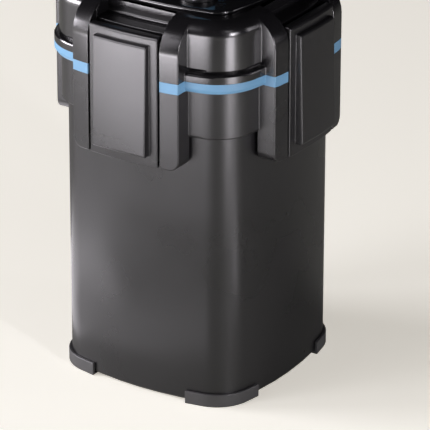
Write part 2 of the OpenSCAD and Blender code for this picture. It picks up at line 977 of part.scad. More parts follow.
module shaft_bushes() {
    color(rubber)
        at_pump() {
            difference() {
                rod(bush_r, can_top - can_t - bush_h, can_top - can_t);
                rod(shaft_r + shaft_fit, can_top - can_t - bush_h - 1, shaft_z1);
            }
            difference() {
                rod(bush_r, bush_low_z, bush_low_z + bush_h);
                rod(shaft_r + shaft_fit, shaft_z0, bush_low_z + bush_h + 1);
            }
        }
}

module rotor_magnet() {
    color(gray)
        at_pump()
            tube(magnet_r, stem_r + shaft_fit, magnet_z, magnet_z + magnet_h);
}

module impeller() {
    color(white)
        at_pump()
            difference() {
                union() {
                    rod(stem_r, impeller_z, magnet_z + magnet_h);
                    rod(stem_r + 2, impeller_z, magnet_z);
                    rod(impeller_r - 2, impeller_z + blade_h, impeller_z + blade_h + 1.5);
                    for (a = [0 : 360 / blades : 359])
                        rotate([0, 0, a])
                            translate([stem_r, -blade_t / 2, impeller_z])
                                cube([impeller_r - stem_r, blade_t, blade_h + 0.5]);
                }
                rod(shaft_r + shaft_fit, impeller_z - 1, magnet_z + magnet_h + 1);
            }
}

module pump_cover() {
    spoke = 3;
    color(gray)
        at_pump()
            difference() {
                union() {
                    tube(volute_r + plate_t, eye_r, pump_cover_z, volute_z);
                    rod(bush_r + seat_fit + 1.5, bush_low_z - 1, volute_z);
                    translate([-eye_r - 1, -spoke / 2, pump_cover_z])
                        cube([2 * eye_r + 2, spoke, pump_cover_t - 1]);
                    translate([-spoke / 2, -eye_r - 1, pump_cover_z])
                        cube([spoke, 2 * eye_r + 2, pump_cover_t - 1]);
                }
                rod(bush_r + seat_fit, bush_low_z, volute_z + 1);
                rod(shaft_r, bush_low_z - 2, volute_z + 1);
            }
}

// ---------- connectors ----------
module connector() {
    difference() {
        union() {
            rod(riser_bore - seat_fit, deck_under - spigot_h, cover_top + eps);
            rod(conn_base_r, cover_top, base2_z);
            rod(neck_r, base2_z - eps, tail_z - 1);
            rod(tail_r, tail_z - 2, tail_z + tail_h);
            for (k = [0, 1])
                translate([0, 0, tail_z + tail_h * (0.3 + 0.36 * k)])
                    cylinder(h = tail_h * 0.24, r1 = tail_r + barb, r2 = tail_r, $fn = fn_round);
        }
        rod(bore_r, deck_under - spigot_h - 1, tail_z + tail_h + 1);
        difference() {
            rod(riser_bore + 1, deck_under - spigot_h / 2, deck_under - spigot_h / 2 + 2);
            rod(riser_bore - 1.4, deck_under - spigot_h, deck_under);
        }
    }
}

module inlet_connector() {
    color(black_hi)
        at_inlet()
            connector();
}

module outlet_connector() {
    color(black_hi)
        at_outlet()
            connector();
}

module spigot_seal() {
    tube(riser_bore - seat_fit / 2, riser_bore - 1.4 + seat_fit / 2, deck_under - spigot_h / 2,
        deck_under - spigot_h / 2 + 2 - seat_fit);
}

module spigot_seals() {
    color(rubber) {
        at_inlet()
            spigot_seal();
        at_outlet()
            spigot_seal();
    }
}

module union_nut() {
    difference() {
        union() {
            rod(nut_r - 0.8, nut_z, tail_z);
            for (a = [0 : 360 / nut_ribs : 359])
                rotate([0, 0, a])
                    translate([nut_r - 1.6, -0.7, nut_z + 0.8])
                        cube([1.6, 1.4, nut_h - 1.6]);
        }
        rod(neck_r + seat_fit, nut_z - 1, tail_z - 1);
        rod(tail_r + barb + seat_fit, nut_z, tail_z + 1);
    }
}

module union_nuts() {
    color(black)
        for (s = [-1, 1])
            translate([s * conn_x, -conn_y, 0])
                union_nut();
}

module flow_lever() {
    difference() {
        union() {
            rod(neck_r + 3, lever_z, lever_z + lever_h);
            translate([-lever_w / 2, 0, lever_z])
                cube([lever_w, lever_len - lever_w / 2, lever_h * 0.7]);
            translate([0, lever_len - lever_w / 2, 0])
                rod(lever_w / 2, lever_z, lever_z + lever_h * 0.7);
        }
        rod(neck_r + lever_fit, lever_z - 1, lever_z + lever_h + 1);
    }
}

module inlet_lever() {
    color(blue)
        at_inlet()
            flow_lever();
}

module outlet_lever() {
    color(blue)
        at_outlet()
            flow_lever();
}

module cable_gland() {
    color(rubber)
        translate([0, gland_y, 0])
            difference() {
                union() {
                    rod(gland_r - 1 - seat_fit, deck_under - 2, cover_top + eps);
                    translate([0, 0, cover_top])
                        cylinder(h = gland_h * 0.45, r = gland_r + 1, $fn = 6);
                    rod(gland_r - 0.6, cover_top, cover_top + gland_h * 0.7);
                    translate([0, 0, cover_top + gland_h * 0.7 - eps])
                        cylinder(h = gland_h * 0.3, r1 = gland_r - 0.6, r2 = gland_bore + 1.6,
                            $fn = fn_round);
                }
                rod(gland_bore, deck_under - 3, cover_top + gland_h + 1);
            }
}

canister();
corner_feet();
color_band();
main_seal();
head_shell();
head_plate();
plate_screws();
top_cover();
cover_screws();
latch_front();
latch_right();
latch_back();
latch_left();
latch_pins();
basket_lower();
basket_middle();
basket_upper();
coarse_sponge();
ceramic_rings();
fine_pad();
intake_tube();
strainer();
stator_core();
stator_coils();
pump_shaft();
shaft_bushes();
rotor_magnet();
impeller();
pump_cover();
inlet_connector();
outlet_connector();
union_nuts();
inlet_lever();
outlet_lever();
spigot_seals();
cable_gland();
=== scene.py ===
# %% [markdown]
# # A canister filter in the studio
# The filter is a square tub with bulged sides, closed by a clamped head. Its sizes and its
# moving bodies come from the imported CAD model, which is loaded first and never changed.
# Everything added here lies in the same frame, in metres, so nothing has to be fitted by eye.

import json
import math

import bmesh
import bpy
import numpy as np
from mathutils import Matrix, Vector

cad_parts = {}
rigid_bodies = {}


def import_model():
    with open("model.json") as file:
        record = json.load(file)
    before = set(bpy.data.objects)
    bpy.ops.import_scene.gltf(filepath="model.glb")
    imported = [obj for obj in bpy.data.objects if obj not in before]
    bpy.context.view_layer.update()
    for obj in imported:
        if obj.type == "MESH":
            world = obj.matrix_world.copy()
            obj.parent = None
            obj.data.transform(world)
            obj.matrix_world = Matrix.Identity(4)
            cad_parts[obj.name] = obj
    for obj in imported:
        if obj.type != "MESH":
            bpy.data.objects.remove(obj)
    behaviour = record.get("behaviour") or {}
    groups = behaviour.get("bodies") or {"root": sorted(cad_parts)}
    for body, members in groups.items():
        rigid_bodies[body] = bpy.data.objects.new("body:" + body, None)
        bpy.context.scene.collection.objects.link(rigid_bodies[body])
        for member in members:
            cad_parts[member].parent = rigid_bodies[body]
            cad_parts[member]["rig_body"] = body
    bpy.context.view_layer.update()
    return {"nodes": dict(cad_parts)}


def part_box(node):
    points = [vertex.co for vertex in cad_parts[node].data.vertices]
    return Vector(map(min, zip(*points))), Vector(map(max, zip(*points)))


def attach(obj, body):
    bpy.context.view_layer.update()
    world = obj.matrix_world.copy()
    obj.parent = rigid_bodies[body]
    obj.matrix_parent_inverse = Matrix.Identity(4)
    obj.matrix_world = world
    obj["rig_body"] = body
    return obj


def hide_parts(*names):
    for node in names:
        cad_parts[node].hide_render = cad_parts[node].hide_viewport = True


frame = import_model()
scene = bpy.context.scene
MM = 0.001

# %% [markdown]
# ## The camera
# A product picture of this kind is taken with a long lens from about two and a half metres,
# so upright edges stay nearly parallel. The camera looks down on the corner between the
# front and the right side. It is turned a quarter of a degree so that the filter stands a
# little left of the middle, which needs no lens shift.

# %% Place the camera
AZIMUTH, TILT, TURN = math.radians(33.28), math.radians(24.58), math.radians(0.2515)
GROUND_DISTANCE, EYE_HEIGHT = 2.4693, 1.2350
LENS, SENSOR = 321.75, 36


def camera_axes():
    """The camera's right, up and back directions, from its three angles."""
    side = Vector((math.cos(AZIMUTH), math.sin(AZIMUTH), 0))
    ahead = Vector((-math.sin(AZIMUTH) * math.cos(TILT), math.cos(AZIMUTH) * math.cos(TILT),
                    -math.sin(TILT)))
    turned = ahead * math.cos(TURN) + side * math.sin(TURN)
    side = side * math.cos(TURN) - ahead * math.sin(TURN)
    return side, side.cross(turned), -turned


camera_data = bpy.data.cameras.new("studio_camera")
camera = bpy.data.objects.new("studio_camera", camera_data)
scene.collection.objects.link(camera)
camera_data.lens, camera_data.sensor_width = LENS, SENSOR
camera_data.clip_start, camera_data.clip_end = 0.1, 50
eye = Vector((math.sin(AZIMUTH) * GROUND_DISTANCE, -math.cos(AZIMUTH) * GROUND_DISTANCE,
              EYE_HEIGHT))
camera.matrix_world = (Matrix.Translation(eye)
                       @ Matrix(camera_axes()).transposed().to_4x4())
scene.camera = camera
print("camera at", [round(v, 3) for v in eye])

# %% [markdown]
# ## Floor and light
# The filter stands on a plain pale floor. Black plastic shows almost nothing but what it
# mirrors, so the place of each lamp follows from a mirror ray, and the air itself stays
# dark, so that the flat deck looks black. Seen from above, an upright wall mirrors the
# floor beside it. Flat glowing panels therefore lie on the floor and face upwards: the
# large one in front makes the levers and rails bright at the top and darker further down,
# and small ones brighten the foot of the left wall and of the right one. The lamps above
# the floor each serve one place: a broad window on the left whitens the far shoulder, the
# key lights all that is rounded at the top, and a tall narrow strip on the right draws the
# line along the near corner. A single large lamp would be simpler, but it would light the
# deck as much as the walls. The camera sees none of the lamps, and it alone sees the floor
# pale: mirrored and scattered rays meet a darker one, so that the walls stay dark.

# %% Stage
scene.view_settings.view_transform = "Standard"


def add_node(tree, kind, place=(0, 0), **values):
    """A node with its settings; a name that isn't a setting is an input socket."""
    node = tree.nodes.new(kind)
    node.location = place
    for key, value in values.items():
        if hasattr(node, key):
            setattr(node, key, value)
        else:
            node.inputs[key.replace("_", " ")].default_value = value
    return node


def mesh_object(name, vertices, faces):
    mesh = bpy.data.meshes.new(name)
    mesh.from_pydata(vertices, [], faces)
    mesh.update()
    made = bpy.data.objects.new(name, mesh)
    scene.collection.objects.link(made)
    return made


FLOOR_REACH = 12.0
FLOOR_SHADE, PALE_SHADE = (0.63, 0.64, 0.56), (0.93, 0.95, 0.86)
FLOOR_TINT, FLOOR_LIFT = (0.84, 0.79, 0.71), 0.55
FLOOR_GLOSS = 0.6
floor = mesh_object("floor", [(-FLOOR_REACH, -FLOOR_REACH, 0), (FLOOR_REACH, -FLOOR_REACH, 0),
                              (FLOOR_REACH, FLOOR_REACH, 0), (-FLOOR_REACH, FLOOR_REACH, 0)],
                    [(0, 1, 2, 3)])

floor_paint = bpy.data.materials.new("pale_floor")
floor_paint.use_nodes = True
tree = floor_paint.node_tree
shader = tree.nodes["Principled BSDF"]
shader.inputs["Roughness"].default_value = FLOOR_GLOSS
shader.inputs["Base Color"].default_value = (*FLOOR_SHADE, 1)
pale = add_node(tree, "ShaderNodeBsdfDiffuse", (0, -500), Color=(*PALE_SHADE, 1))
lift = add_node(tree, "ShaderNodeEmission", (0, -300), Color=(*FLOOR_TINT, 1),
                Strength=FLOOR_LIFT)
seen = add_node(tree, "ShaderNodeLightPath", (-400, 0))
lit = add_node(tree, "ShaderNodeAddShader", (250, -150))
pick = add_node(tree, "ShaderNodeMixShader", (450, 0))
tree.links.new(pale.outputs[0], lit.inputs[0])
tree.links.new(lift.outputs[0], lit.inputs[1])
tree.links.new(seen.outputs["Is Camera Ray"], pick.inputs[0])
tree.links.new(shader.outputs[0], pick.inputs[1])
tree.links.new(lit.outputs[0], pick.inputs[2])
tree.links.new(pick.outputs[0], tree.nodes["Material Output"].inputs["Surface"])
floor.data.materials.append(floor_paint)

# %% World and lamps
AIR_COLOUR, AIR = (0.93, 0.95, 1.0), 0.01
BACKDROP_SHADE = (0.86, 0.84, 0.81)
LAMP_COLOUR = (1.0, 0.955, 1.02)
GLOW_HEIGHT = 4 * MM
MIDDLE_HEIGHT = 0.2
MIDDLE = Vector((0, 0, MIDDLE_HEIGHT))

world = bpy.data.worlds.new("studio_air")
scene.world = world
world.use_nodes = True
tree = world.node_tree
air = tree.nodes["Background"]
air.inputs["Color"].default_value = (*AIR_COLOUR, 1)
air.inputs["Strength"].default_value = AIR
backdrop = add_node(tree, "ShaderNodeBackground", (0, -200), Color=(*BACKDROP_SHADE, 1),
                    Strength=1.0)
seen = add_node(tree, "ShaderNodeLightPath", (-300, 100))
pick = add_node(tree, "ShaderNodeMixShader", (250, 0))
tree.links.new(seen.outputs["Is Camera Ray"], pick.inputs[0])
tree.links.new(air.outputs[0], pick.inputs[1])
tree.links.new(backdrop.outputs[0], pick.inputs[2])
tree.links.new(pick.outputs[0], tree.nodes["World Output"].inputs["Surface"])


def softbox(name, where, width, height, watts):
    """A rectangular lamp that is aimed at the middle of the filter."""
    lamp = bpy.data.lights.new(name, "AREA")
    lamp.shape, lamp.size, lamp.size_y = "RECTANGLE", width, height
    lamp.energy, lamp.color = watts, LAMP_COLOUR
    made = bpy.data.objects.new(name, lamp)
    scene.collection.objects.link(made)
    made.visible_camera = False
    made.location = where
    made.rotation_mode = "QUATERNION"
    made.rotation_quaternion = (Vector(where) - MIDDLE).to_track_quat("Z", "Y")
    return made


def high_lamp(name, bearing, rise, width, height, watts, away=2.2):
    """A lamp above the floor; the bearing is counted from the front towards the right."""
    turn, lift_angle = math.radians(bearing), math.radians(rise)
    ground = away * math.cos(lift_angle)
    softbox(name, (math.sin(turn) * ground, -math.cos(turn) * ground,
                   MIDDLE_HEIGHT + math.sin(lift_angle) * away), width, height, watts)


def floor_glow(name, bearing, away, width, depth, watts):
    """A flat panel on the floor that shines upwards, with its depth along the bearing."""
    turn = math.radians(bearing)
    out, down = Vector((math.sin(turn), -math.cos(turn), 0)), Vector((0, 0, -1))
    made = softbox(name, out * away + Vector((0, 0, GLOW_HEIGHT)), width, depth, watts)
    made.rotation_quaternion = Matrix((out.cross(down), out, down)).transposed().to_quaternion()


high_lamp("window", -65, 10, 1.47, 1.15, 128, away=3.6)
high_lamp("key", -30, 25, 1.2, 1.2, 8.5)
high_lamp("near_corner", 75, 8, 0.3, 0.6, 4)
high_lamp("horizon", -32, 4, 1.1, 0.25, 4)
high_lamp("corner_strip", 66, 8, 0.04, 0.26, 2.3, away=0.95)
high_lamp("right_corner", 60, 30, 0.5, 0.5, 1)
high_lamp("recess", -36, 42, 0.5, 0.5, 5)
high_lamp("edge", 112, 10, 0.4, 0.7, 2.6)
floor_glow("front_glow", -15, 0.98, 1.05, 0.42, 17)
floor_glow("front_low", -20, 0.16, 0.25, 0.07, 0.025)
floor_glow("left_glow", -68, 0.21, 0.26, 0.18, 0.22)
floor_glow("right_glow", 78, 0.50, 0.08, 0.50, 0.11)
floor_glow("right_far", 62, 0.82, 0.24, 0.36, 2.2)

# %% [markdown]
# ## Finishes
# Almost every part is injection-moulded, and a mould leaves a very fine spark-eroded grain.
# It shows as a satin gloss that varies a little from place to place. The grain is one node
# group with its own inputs, used by every moulded part with its own values. The colour of
# the plastic, its gloss and its grain height come out of the group, and the shader itself
# stays in each material.

# %% Node group: moulded skin


def group_socket(tree, name, kind, way, value=None):
    made = tree.interface.new_socket(name, in_out=way, socket_type=kind)
    if value is not None:
        made.default_value = value


def moulded_skin_group():
    """Colour and gloss drift a little in slow clouds; a fine noise is the grain's height."""
    tree = bpy.data.node_groups.new("moulded_skin", "ShaderNodeTree")
    group_socket(tree, "Colour", "NodeSocketColor", "INPUT", (0.02, 0.02, 0.02, 1))
    group_socket(tree, "Gloss low", "NodeSocketFloat", "INPUT", 0.35)
    group_socket(tree, "Gloss high", "NodeSocketFloat", "INPUT", 0.45)
    group_socket(tree, "Grain per metre", "NodeSocketFloat", "INPUT", 2500)
    group_socket(tree, "Colour", "NodeSocketColor", "OUTPUT")
    group_socket(tree, "Roughness", "NodeSocketFloat", "OUTPUT")
    group_socket(tree, "Height", "NodeSocketFloat", "OUTPUT")
    into = add_node(tree, "NodeGroupInput", (-800, 0))
    out = add_node(tree, "NodeGroupOutput", (500, 0))
    place = add_node(tree, "ShaderNodeTexCoord", (-800, -300))
    grain = add_node(tree, "ShaderNodeTexNoise", (-500, -300), Detail=3.0, Roughness=0.6)
    clouds = add_node(tree, "ShaderNodeTexNoise", (-500, 200), Scale=14.0, Detail=4.0)
    spread = add_node(tree, "ShaderNodeMapRange", (-250, 200), From_Min=0.35, From_Max=0.65)
    tint = add_node(tree, "ShaderNodeMapRange", (-250, -50), From_Min=0.3, From_Max=0.7,
                    To_Min=0.88, To_Max=1.12)
    shade = add_node(tree, "ShaderNodeVectorMath", (100, 100), operation="SCALE")
    tree.links.new(place.outputs["Object"], grain.inputs["Vector"])
    tree.links.new(place.outputs["Object"], clouds.inputs["Vector"])
    tree.links.new(into.outputs["Grain per metre"], grain.inputs["Scale"])
    tree.links.new(clouds.outputs["Fac"], spread.inputs["Value"])
    tree.links.new(into.outputs["Gloss low"], spread.inputs["To Min"])
    tree.links.new(into.outputs["Gloss high"], spread.inputs["To Max"])
    tree.links.new(clouds.outputs["Fac"], tint.inputs["Value"])
    tree.links.new(into.outputs["Colour"], shade.inputs[0])
    tree.links.new(tint.outputs["Result"], shade.inputs["Scale"])
    tree.links.new(shade.outputs["Vector"], out.inputs["Colour"])
    tree.links.new(spread.outputs["Result"], out.inputs["Roughness"])
    tree.links.new(grain.outputs["Fac"], out.inputs["Height"])
    return tree


moulded_skin = moulded_skin_group()

# %% Moulded materials


def moulded(name, colour, gloss_low, gloss_high, grain=2500, depth=0.04 * MM, metallic=0.0,
            sheen=0.5):
    """A material with the moulded skin; the sheen is the strength of its clear reflection."""
    material = bpy.data.materials.new(name)
    material.use_nodes = True
    tree = material.node_tree
    shader = tree.nodes["Principled BSDF"]
    skin = add_node(tree, "ShaderNodeGroup", (-500, 0), node_tree=moulded_skin)
    skin.inputs["Colour"].default_value = (*colour, 1)
    skin.inputs["Gloss low"].default_value = gloss_low
    skin.inputs["Gloss high"].default_value = gloss_high
    skin.inputs["Grain per metre"].default_value = grain
    bump = add_node(tree, "ShaderNodeBump", (-250, -250), Strength=0.5, Distance=depth)
    tree.links.new(skin.outputs["Colour"], shader.inputs["Base Color"])
    tree.links.new(skin.outputs["Roughness"], shader.inputs["Roughness"])
    tree.links.new(skin.outputs["Height"], bump.inputs["Height"])
    tree.links.new(bump.outputs["Normal"], shader.inputs["Normal"])
    shader.inputs["Metallic"].default_value = metallic
    shader.inputs["Specular IOR Level"].default_value = sheen
    return material


def group_material(name, group, metallic=0.0, bump=0.5, distance=0.1 * MM, **values):
    """A material whose colour, roughness and height come out of a node group."""
    material = bpy.data.materials.new(name)
    material.use_nodes = True
    tree = material.node_tree
    shader = tree.nodes["Principled BSDF"]
    skin = add_node(tree, "ShaderNodeGroup", (-500, 0), node_tree=group)
    for key, value in values.items():
        skin.inputs[key.replace("_", " ")].default_value = value
    relief = add_node(tree, "ShaderNodeBump", (-250, -250), Strength=bump, Distance=distance)
    tree.links.new(skin.outputs["Colour"], shader.inputs["Base Color"])
    tree.links.new(skin.outputs["Roughness"], shader.inputs["Roughness"])
    tree.links.new(skin.outputs["Height"], relief.inputs["Height"])
    tree.links.new(relief.outputs["Normal"], shader.inputs["Normal"])
    shader.inputs["Metallic"].default_value = metallic
    return material


def relief_group(name, pattern, low, high, rough, **settings):
    """Two colours and a height that follow one texture, for foam, clay and laminations."""
    tree = bpy.data.node_groups.new(name, "ShaderNodeTree")
    group_socket(tree, "Low colour", "NodeSocketColor", "INPUT", (*low, 1))
    group_socket(tree, "High colour", "NodeSocketColor", "INPUT", (*high, 1))
    group_socket(tree, "Size", "NodeSocketFloat", "INPUT", 500)
    group_socket(tree, "Colour", "NodeSocketColor", "OUTPUT")
    group_socket(tree, "Roughness", "NodeSocketFloat", "OUTPUT")
    group_socket(tree, "Height", "NodeSocketFloat", "OUTPUT")
    into = add_node(tree, "NodeGroupInput", (-700, 0))
    out = add_node(tree, "NodeGroupOutput", (400, 0))
    place = add_node(tree, "ShaderNodeTexCoord", (-700, -300))
    texture = add_node(tree, pattern, (-400, -100), **settings)
    signal = texture.outputs["Distance" if pattern.endswith("Voronoi") else "Fac"]
    blend = add_node(tree, "ShaderNodeMix", (0, 100), data_type="RGBA")
    spread = add_node(tree, "ShaderNodeMapRange", (0, -150), To_Min=rough - 0.08, To_Max=rough)
    tree.links.new(place.outputs["Object"], texture.inputs["Vector"])
    tree.links.new(into.outputs["Size"], texture.inputs["Scale"])
    tree.links.new(signal, blend.inputs["Factor"])
    tree.links.new(into.outputs["Low colour"], blend.inputs[6])
    tree.links.new(into.outputs["High colour"], blend.inputs[7])
    tree.links.new(signal, spread.inputs["Value"])
    tree.links.new(blend.outputs[2], out.inputs["Colour"])
    tree.links.new(spread.outputs["Result"], out.inputs["Roughness"])
    tree.links.new(signal, out.inputs["Height"])
    return tree


open_foam = relief_group("open_foam", "ShaderNodeTexVoronoi", (0.010, 0.010, 0.011),
                         (0.060, 0.060, 0.064), 0.95)
felted_floss = relief_group("felted_floss", "ShaderNodeTexNoise", (0.62, 0.62, 0.60),
                            (0.86, 0.86, 0.84), 0.95, Detail=8.0, Distortion=2.5)
fired_clay = relief_group("fired_clay", "ShaderNodeTexNoise", (0.30, 0.13, 0.06),
                          (0.46, 0.24, 0.12), 0.90, Detail=6.0)
laminations = relief_group("laminations", "ShaderNodeTexWave", (0.30, 0.30, 0.31),
                           (0.58, 0.59, 0.61), 0.42, bands_direction="Z", Distortion=0.15)

finish = {
    "tub": moulded("satin_black_tub", (0.011, 0.0105, 0.0115), 0.26, 0.32, sheen=1.0),
    "head": moulded("satin_black_head", (0.009, 0.0086, 0.0095), 0.18, 0.24, sheen=1.0),
    "lever": moulded("satin_black_lever", (0.011, 0.0105, 0.0115), 0.26, 0.32, sheen=1.0),
    "cover": moulded("gloss_black_cover", (0.006, 0.006, 0.007), 0.12, 0.18, depth=0.02 * MM,
                     sheen=1.0),
    "band": moulded("light_blue_band", (0.165, 0.355, 0.54), 0.36, 0.46),
    "blue_lever": moulded("light_blue_lever", (0.18, 0.40, 0.60), 0.30, 0.40),
    "rubber": moulded("black_rubber", (0.075, 0.074, 0.075), 0.36, 0.48, grain=1200, sheen=1.0),
    "fitting": moulded("black_fitting", (0.012, 0.012, 0.013), 0.24, 0.32, sheen=0.9),
    "inner": moulded("grey_inner_plastic", (0.11, 0.115, 0.12), 0.38, 0.50),
    "steel": moulded("bright_steel", (0.62, 0.63, 0.65), 0.20, 0.32, metallic=1.0),
    "blackened": moulded("blackened_steel", (0.030, 0.030, 0.032), 0.30, 0.42, metallic=0.6),
    "clay": group_material("fired_clay_rings", fired_clay, Size=900.0, distance=0.3 * MM),
    "foam": group_material("coarse_black_foam", open_foam, Size=420.0, bump=0.9,
                           distance=1.2 * MM),
    "floss": group_material("white_floss", felted_floss, Size=260.0, bump=0.7,
                            distance=0.6 * MM),
    "stack": group_material("lamination_stack", laminations, metallic=1.0, Size=300.0),
    "copper": moulded("enamelled_copper", (0.72, 0.30, 0.13), 0.25, 0.35, metallic=1.0),
    "magnet": moulded("ferrite", (0.045, 0.045, 0.05), 0.45, 0.6),
    "white": moulded("white_impeller_plastic", (0.75, 0.75, 0.72), 0.35, 0.45),
}
print("finishes:", len(finish))

# %% [markdown]
# ## Softened edges
# A mould has no knife edges: every outer edge has a small radius, and it is these radii that
# catch the light. Each moulded solid is copied, its triangles are joined back into whole
# faces, and a bevel with its own width for each edge rounds it. Lines where two parts meet
# stay nearly sharp, so that a hairline gap is left and not a groove. The alternative, a
# bevel in the shader, would look the same here but leave the real mesh sharp.

# %% Outline of the tub, for exact shading
BODY_W, SIDE_BULGE, CORNER_R = 155 * MM, 5.3 * MM, 26.5 * MM
HALF_W = BODY_W / 2
CORNER_Q = HALF_W - SIDE_BULGE - CORNER_R
SIDE_RUN = HALF_W - CORNER_Q
SIDE_R = (SIDE_RUN ** 2 + CORNER_Q ** 2 - CORNER_R ** 2) / (2 * SIDE_BULGE)
SIDE_A = math.asin(CORNER_Q / (SIDE_R - CORNER_R))


def outline_direction(x, y):
    """Outward direction, as an angle, of the bulged square through a point."""
    turns = round((math.atan2(y, x) + math.pi / 2) / (math.pi / 2))
    c, s = math.cos(-turns * math.pi / 2), math.sin(-turns * math.pi / 2)
    fx, fy = c * x - s * y, s * x + c * y
    angle = math.atan2(fy - (SIDE_R - HALF_W), fx)
    if abs(angle + math.pi / 2) > SIDE_A:
        side = 1 if fx > 0 else -1
        angle = math.atan2(fy + CORNER_Q, fx - side * CORNER_Q)
    return angle + turns * math.pi / 2


print("side arc radius in mm:", round(SIDE_R / MM, 1), "half angle",
      round(math.degrees(SIDE_A), 2))

# %% Join, bevel and shade a copy of a solid
SAME_POINT, SAME_PLANE = 0.002 * MM, math.radians(0.6)
LEAST_BEND = math.radians(22)
SMOOTH = math.cos(math.radians(32))
STEEPEST_TOP, FOLLOWS_OUTLINE = 0.25, 0.9925


def joined_copy(node):
    """A copy of a solid with its loose triangles joined back into whole faces."""
    made = bmesh.new()
    made.from_mesh(frame["nodes"][node].data)
    bmesh.ops.remove_doubles(made, verts=made.verts, dist=SAME_POINT)
    bmesh.ops.dissolve_limit(made, angle_limit=SAME_PLANE, verts=made.verts,
                             edges=made.edges, delimit={"NORMAL"})
    return made


def weigh_edges(made, width_of, widest):
    """Give each real edge its own share of the widest bevel, and count those with one."""
    layer = made.edges.layers.float.new("bevel_weight_edge")
    chosen = 0
    for edge in made.edges:
        if len(edge.link_faces) != 2:
            continue
        bend = edge.calc_face_angle_signed(0)
        if abs(bend) < LEAST_BEND:
            continue
        width = width_of(edge, bend)
        edge[layer] = min(width / widest, 1)
        chosen += width > 0
    return chosen


def outline_shading(mesh):
    """Custom normals: smooth over small bends, and exact on walls that follow the outline."""
    count = len(mesh.polygons)
    normals = np.empty(count * 3)
    mesh.polygons.foreach_get("normal", normals)
    normals = normals.reshape(-1, 3)
    areas = np.empty(count)
    mesh.polygons.foreach_get("area", areas)
    around = [[] for _ in mesh.vertices]
    for polygon in mesh.polygons:
        for v in polygon.vertices:
            around[v].append(polygon.index)
    custom = []
    for polygon in mesh.polygons:
        own = normals[polygon.index]
        for v in polygon.vertices:
            near = around[v]
            total = sum((normals[k] * areas[k] for k in near if normals[k] @ own > SMOOTH),
                        start=np.zeros(3))
            normal = Vector(total if np.linalg.norm(total) > 0 else own).normalized()
            flat = math.hypot(normal.x, normal.y)
            if flat > STEEPEST_TOP:
                spot = mesh.vertices[v].co
                angle = outline_direction(spot.x, spot.y)
                along = (normal.x * math.cos(angle) + normal.y * math.sin(angle)) / flat
                if abs(along) > FOLLOWS_OUTLINE:
                    sign = 1 if along > 0 else -1
                    normal = Vector((sign * flat * math.cos(angle), sign * flat * math.sin(angle),
                                     normal.z))
            custom.append(normal)
    mesh.normals_split_custom_set(custom)


def softened(node, name, width_of, material, segments=3, widest=2 * MM):
    """Put a bevelled copy of a solid in its place, with its own finish."""
    made = joined_copy(node)
    chosen = weigh_edges(made, width_of, widest)
    mesh = bpy.data.meshes.new(name)
    made.to_mesh(mesh)
    made.free()
    sharp = bpy.data.objects.new(name + "_sharp", mesh)
    scene.collection.objects.link(sharp)
    bevel = sharp.modifiers.new("soft edges", "BEVEL")
    bevel.limit_method, bevel.width, bevel.segments = "WEIGHT", widest, segments
    bevel.use_clamp_overlap = False
    bevel.miter_outer = "MITER_ARC"
    bpy.context.view_layer.update()
    view = bpy.context.evaluated_depsgraph_get()
    final = bpy.data.meshes.new_from_object(sharp.evaluated_get(view))
    bpy.data.objects.remove(sharp)
    final.name = name
    piece = bpy.data.objects.new(name, final)
    scene.collection.objects.link(piece)
    final.materials.clear()
    final.materials.append(material)
    for polygon in final.polygons:
        polygon.use_smooth = True
    outline_shading(final)
    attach(piece, frame["nodes"][node]["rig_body"])
    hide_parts(node)
    print(f"{name}: {chosen} edges softened, {len(final.polygons)} faces")


# %% [markdown]
# ## Head, band and tub
# These three share the same outline and the same eight rails, and they part at the blue
# band. One bevel of the same width everywhere would be the short way, but it would open a
# groove at the parting lines and thin the lip. So a small function looks at each edge and
# says how wide its bevel is: widest on the rails, crisp round the finger recesses, almost
# nothing where two parts meet, and none inside, where nobody looks.

# %% Levels of the parting lines
collar_top, band_top = (corner.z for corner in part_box("color_band"))
deck_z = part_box("top_cover")[0].z
RAIL_ROUND, RAIL_HOLLOW, PARTING = 1.0 * MM, 0.6 * MM, 0.15 * MM
RECESS_ROUND, RECESS_OUT, RECESS_DEEP = 0.6 * MM, 68.6 * MM, 11.5 * MM
print("band from", round(collar_top / MM, 2), "to", round(band_top / MM, 2), "mm; deck at",
      round(deck_z / MM, 2), "mm")


def at_level(edge, level, near=0.05 * MM):
    return all(abs(v.co.z - level) < near for v in edge.verts)


def edge_middle(edge):
    return (edge.verts[0].co + edge.verts[1].co) / 2


def radius_out(edge):
    """How far out an edge lies, measured square to the nearest side."""
    spot = edge_middle(edge)
    return max(abs(spot.x), abs(spot.y))


def rail_width(edge, bend):
    if at_level(edge, collar_top) or at_level(edge, band_top):
        return PARTING if bend > 0 else 0
    if radius_out(edge) <= HALF_W - 1 * MM:
        return 0
    return RAIL_ROUND if bend > 0 else RAIL_HOLLOW


def head_width(edge, bend):
    """The rails' widths, and a crisp edge round the finger recess behind each lever."""
    high_up = edge_middle(edge).z > deck_z - RECESS_DEEP
    if bend > 0 and high_up and radius_out(edge) > RECESS_OUT:
        return RECESS_ROUND
    return rail_width(edge, bend)


softened("canister", "tub", rail_width, finish["tub"])
softened("color_band", "band", rail_width, finish["band"])
softened("head_shell", "head", head_width, finish["head"])

# %% [markdown]
# ## Latches and small parts
# Each latch is a broad lever with a raised panel. The levers could be modelled anew here, but
# the CAD solids already have the right shape and turn on the right pins, so bevelled copies
# keep both. An edge that a thumb presses on gets most of a millimetre, and the hollow edges
# at the foot of the panel half of that. Feet, cover and hose tails are smaller mouldings and
# get a smaller radius.

# %% Latches


def lever_width(edge, bend):
    return 0.8 * MM if bend > 0 else 0.4 * MM


for node in ("latch_front", "latch_right", "latch_back", "latch_left"):
    softened(node, node.replace("latch", "lever"), lever_width, finish["lever"])

# %% Feet, cover and fittings


def small_width(edge, bend):
    return 0.5 * MM if bend > 0 else 0


